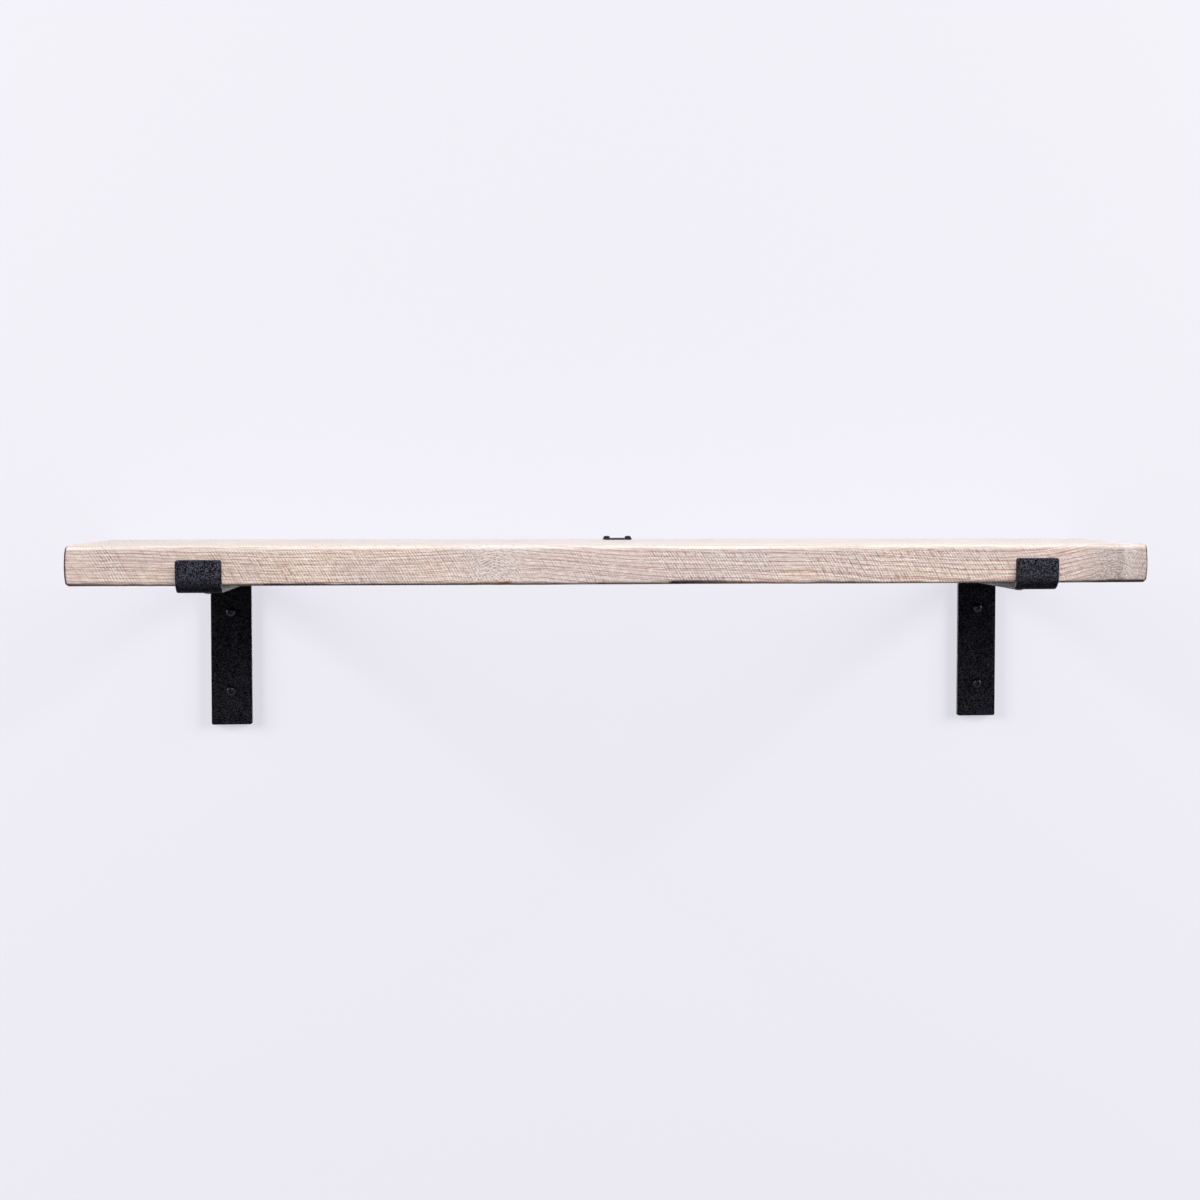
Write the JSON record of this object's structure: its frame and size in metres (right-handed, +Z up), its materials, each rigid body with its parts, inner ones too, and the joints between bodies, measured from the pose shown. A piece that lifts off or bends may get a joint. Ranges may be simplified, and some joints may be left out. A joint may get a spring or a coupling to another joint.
{
  "type": "wall shelf",
  "caption": "Wall shelf of a thick whitewashed softwood board carried on black flat-bar brackets that bend up in a lip at the front and are screwed to the wall down a leg.",
  "frame": {"origin": "centre of the rectangle of the wall screws, on the wall's face", "axes": "+X along the shelf to the right, +Y into the wall, +Z up"},
  "size_m": [1, 0.254, 0.191],
  "materials": {
    "limed_softwood": "rough sawn, limed and sanded, matt",
    "black_powder_coat": "fine-texture matt powder coat on steel bar",
    "black_screw_finish": "satin black steel screw"
  },
  "bodies": {
    "root": {"shelf_board": "limed_softwood", "bracket_left": "black_powder_coat", "bracket_right": "black_powder_coat", "wall_screw_left_upper": "black_screw_finish", "wall_screw_left_lower": "black_screw_finish", "wall_screw_right_upper": "black_screw_finish", "wall_screw_right_lower": "black_screw_finish", "arm_screw_left_front": "black_screw_finish", "arm_screw_left_rear": "black_screw_finish", "arm_screw_right_front": "black_screw_finish", "arm_screw_right_rear": "black_screw_finish", "rear_plate": "black_powder_coat", "plate_screw_left": "black_screw_finish", "plate_screw_right": "black_screw_finish"}
  },
  "joints": []
}
